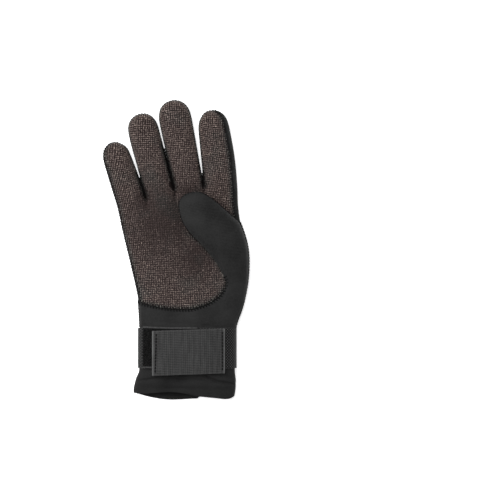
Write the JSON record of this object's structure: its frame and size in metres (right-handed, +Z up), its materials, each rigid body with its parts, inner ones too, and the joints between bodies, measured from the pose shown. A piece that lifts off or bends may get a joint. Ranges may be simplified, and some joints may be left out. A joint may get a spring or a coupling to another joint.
{
  "type": "diving glove",
  "caption": "Five-finger neoprene diving glove for a right hand, with a pebbled grip palm, a long cuff and a hook and loop wrist strap.",
  "frame": {"origin": "under the middle of the glove's box, on the surface that it lies on", "axes": "+Y along the hand towards the fingertips, +X towards the thumb's side, +Z up out of the palm"},
  "size_m": [0.139, 0.284, 0.0388],
  "materials": {
    "neoprene": "black neoprene with a fine knitted face",
    "grip": "dark brown pebbled grip print",
    "twill_webbing": "black twill webbing",
    "loop_pile": "black loop pile",
    "ribbed_webbing": "dark grey ribbed webbing"
  },
  "bodies": {
    "root": {"back_panel": "neoprene", "palm_panel": "grip", "thumb_panel": "neoprene", "thumb_grip": "grip", "cuff": "neoprene", "wrist_band": "twill_webbing", "loop_patch": "loop_pile", "strap_tab": "ribbed_webbing"}
  },
  "joints": []
}
